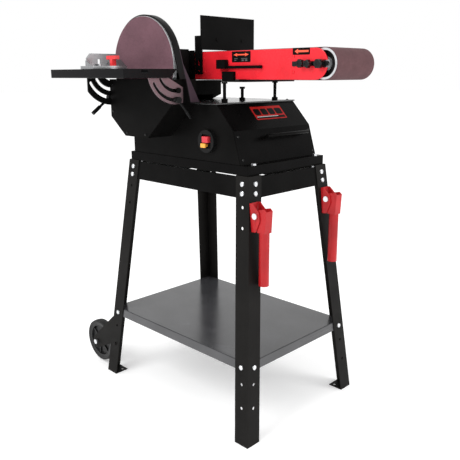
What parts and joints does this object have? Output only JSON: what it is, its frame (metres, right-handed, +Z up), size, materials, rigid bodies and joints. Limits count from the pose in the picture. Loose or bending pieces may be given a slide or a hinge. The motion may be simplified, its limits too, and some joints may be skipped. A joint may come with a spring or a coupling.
{
  "type": "belt disc sander",
  "caption": "Belt and disc sander on a splayed four-leg stand, with a tilting disc table, a swing-up belt arm, a shelf, two transport wheels and two fold-out handles.",
  "frame": {"origin": "on the floor, at the centre of the four foot holes", "axes": "+X along the belt arm to its free end, -Y is the side with the disc and the switch, +Z up"},
  "size_m": [0.9122, 0.634, 1.11],
  "materials": {
    "black_coat": "satin black powder coat",
    "black_plastic": "moulded black plastic",
    "cast_alu": "machined die casting",
    "grit": "aluminium oxide abrasive on cloth",
    "motor_paint": "grey enamel",
    "red_coat": "glossy red powder coat",
    "red_plastic": "moulded red plastic",
    "steel": "turned steel",
    "table_iron": "ground and blackened cast iron",
    "tray_black": "semi-gloss black powder coat",
    "tyre": "matt rubber tread",
    "v_belt": "moulded rubber",
    "yellow_plastic": "moulded amber plastic",
    "zinc": "bright zinc plate"
  },
  "bodies": {
    "base": {"leg_front_right": "black_coat", "leg_back_right": "black_coat", "leg_back_left": "black_coat", "leg_front_left": "black_coat", "aprons_long": "black_coat", "aprons_short": "black_coat", "shelf": "tray_black", "stand_bolts": "zinc", "base_tray": "tray_black", "wheel_brackets": "black_coat", "wheel_axles": "zinc", "handle_brackets": "red_coat", "handle_pins": "zinc", "cabinet_shell": "tray_black", "cabinet_cover": "tray_black", "top_plate": "tray_black", "cover_pull": "black_plastic", "motor": "motor_paint", "drive_belt": "v_belt", "shaft_bearings": "steel", "pedestals": "black_coat", "disc_guard": "black_coat", "disc_housing": "black_coat", "pulley_cover": "black_coat", "dust_ports": "black_plastic", "belt_hood": "black_plastic", "support_posts": "black_coat", "switch_box": "black_plastic"},
    "spindle": {"main_shaft": "steel", "driven_pulley": "cast_alu", "disc_plate": "cast_alu", "abrasive_disc": "grit", "drive_drum": "cast_alu"},
    "rotor": {"motor_rotor": "steel"},
    "belt_arm": {"arm_frame": "black_coat", "arm_side_plate": "red_coat", "arm_far_plate": "black_coat", "arm_pivots": "black_coat", "platen": "steel", "sanding_belt": "grit", "spring_tube": "zinc"},
    "idler_link": {"idler_axle": "zinc"},
    "idler_roller": {"idler_drum": "cast_alu"},
    "tension_lever": {"tension_lever": "black_coat"},
    "tracking_knob": {"tracking_knob": "black_plastic"},
    "tracking_lock": {"tracking_lock": "black_plastic"},
    "work_stop": {"work_stop": "black_coat"},
    "table": {"disc_table": "table_iron", "table_trunnions": "black_coat"},
    "lock_left": {"lock_lever_left": "black_plastic"},
    "lock_right": {"lock_lever_right": "black_plastic"},
    "mitre_bar": {"mitre_bar": "steel"},
    "mitre_head": {"mitre_head": "cast_alu"},
    "mitre_knob": {"mitre_knob": "red_plastic"},
    "wheel_front": {"wheel_front": "tyre"},
    "wheel_back": {"wheel_back": "tyre"},
    "handle_front": {"handle_front": "red_coat"},
    "handle_back": {"handle_back": "red_coat"},
    "switch_paddle": {"switch_paddle": "red_plastic"},
    "safety_key": {"safety_key": "yellow_plastic"}
  },
  "joints": [
    {"name": "spindle_spin", "type": "hinge", "parent": "base", "child": "spindle", "pos_m": [-0.082, 0, 0.979], "axis": [0, 1, 0], "continuous": true},
    {"name": "motor_spin", "type": "hinge", "parent": "base", "child": "rotor", "pos_m": [-0.082, 0, 0.822], "axis": [0, 1, 0], "continuous": true},
    {"name": "arm_tilt", "type": "hinge", "parent": "base", "child": "belt_arm", "pos_m": [-0.082, 0, 0.979], "axis": [0, -1, 0], "range_deg": [0, 90]},
    {"name": "idler_slide", "type": "slide", "parent": "belt_arm", "child": "idler_link", "axis": [1, 0, 0], "range_m": [-0.01, 0]},
    {"name": "idler_spin", "type": "hinge", "parent": "idler_link", "child": "idler_roller", "pos_m": [0.41597, 0, 0.979], "axis": [0, 1, 0], "continuous": true},
    {"name": "tension_swing", "type": "hinge", "parent": "belt_arm", "child": "tension_lever", "pos_m": [0.228, -0.098, 0.974], "axis": [0, 1, 0], "range_deg": [0, 75]},
    {"name": "tracking_turn", "type": "hinge", "parent": "idler_link", "child": "tracking_knob", "pos_m": [0.35897, -0.105, 0.98], "axis": [0, -1, 0], "range_deg": [-360, 360]},
    {"name": "tracking_lock_turn", "type": "hinge", "parent": "idler_link", "child": "tracking_lock", "pos_m": [0.37997, -0.105, 0.979], "axis": [0, -1, 0], "range_deg": [0, 180]},
    {"name": "stop_slide", "type": "slide", "parent": "belt_arm", "child": "work_stop", "axis": [0, 0, 1], "range_m": [0, 0.008]},
    {"name": "table_tilt", "type": "hinge", "parent": "base", "child": "table", "pos_m": [-0.082, -0.232, 0.97], "axis": [1, 0, 0], "range_deg": [0, 45]},
    {"name": "lock_left_turn", "type": "hinge", "parent": "base", "child": "lock_left", "pos_m": [-0.232, -0.232, 0.893], "axis": [1, 0, 0], "range_deg": [-10, 60]},
    {"name": "lock_right_turn", "type": "hinge", "parent": "base", "child": "lock_right", "pos_m": [0.065, -0.232, 0.893], "axis": [1, 0, 0], "range_deg": [-40, 20]},
    {"name": "mitre_slide", "type": "slide", "parent": "table", "child": "mitre_bar", "axis": [1, 0, 0], "range_m": [-0.05, 0.1]},
    {"name": "mitre_swing", "type": "hinge", "parent": "mitre_bar", "child": "mitre_head", "pos_m": [-0.126, -0.334, 0.974], "axis": [0, 0, 1], "range_deg": [-45, 45]},
    {"name": "mitre_knob_turn", "type": "hinge", "parent": "mitre_bar", "child": "mitre_knob", "pos_m": [-0.064, -0.334, 0.99], "axis": [0, 0, 1], "range_deg": [0, 180]},
    {"name": "wheel_front_spin", "type": "hinge", "parent": "base", "child": "wheel_front", "pos_m": [-0.389, -0.206, 0.077], "axis": [0, 1, 0], "continuous": true},
    {"name": "wheel_back_spin", "type": "hinge", "parent": "base", "child": "wheel_back", "pos_m": [-0.389, 0.206, 0.077], "axis": [0, 1, 0], "continuous": true},
    {"name": "handle_front_swing", "type": "hinge", "parent": "base", "child": "handle_front", "pos_m": [0.2774, -0.15058, 0.61075], "axis": [0, -1, 0], "range_deg": [0, 80]},
    {"name": "handle_back_swing", "type": "hinge", "parent": "base", "child": "handle_back", "pos_m": [0.2774, 0.15058, 0.61075], "axis": [0, -1, 0], "range_deg": [0, 80]},
    {"name": "switch_press", "type": "hinge", "parent": "base", "child": "switch_paddle", "pos_m": [0.102, -0.163, 0.797], "axis": [1, 0, 0], "range_deg": [-15, 0]},
    {"name": "key_pull", "type": "slide", "parent": "base", "child": "safety_key", "axis": [0, -1, 0], "range_m": [0, 0.025]}
  ],
  "couplings": [
    {"joint": "motor_spin", "follows": "spindle_spin", "ratio": 1.3072},
    {"joint": "idler_spin", "follows": "spindle_spin", "ratio": 1},
    {"joint": "idler_slide", "follows": "tension_swing", "m_per_rad": -0.0076}
  ]
}
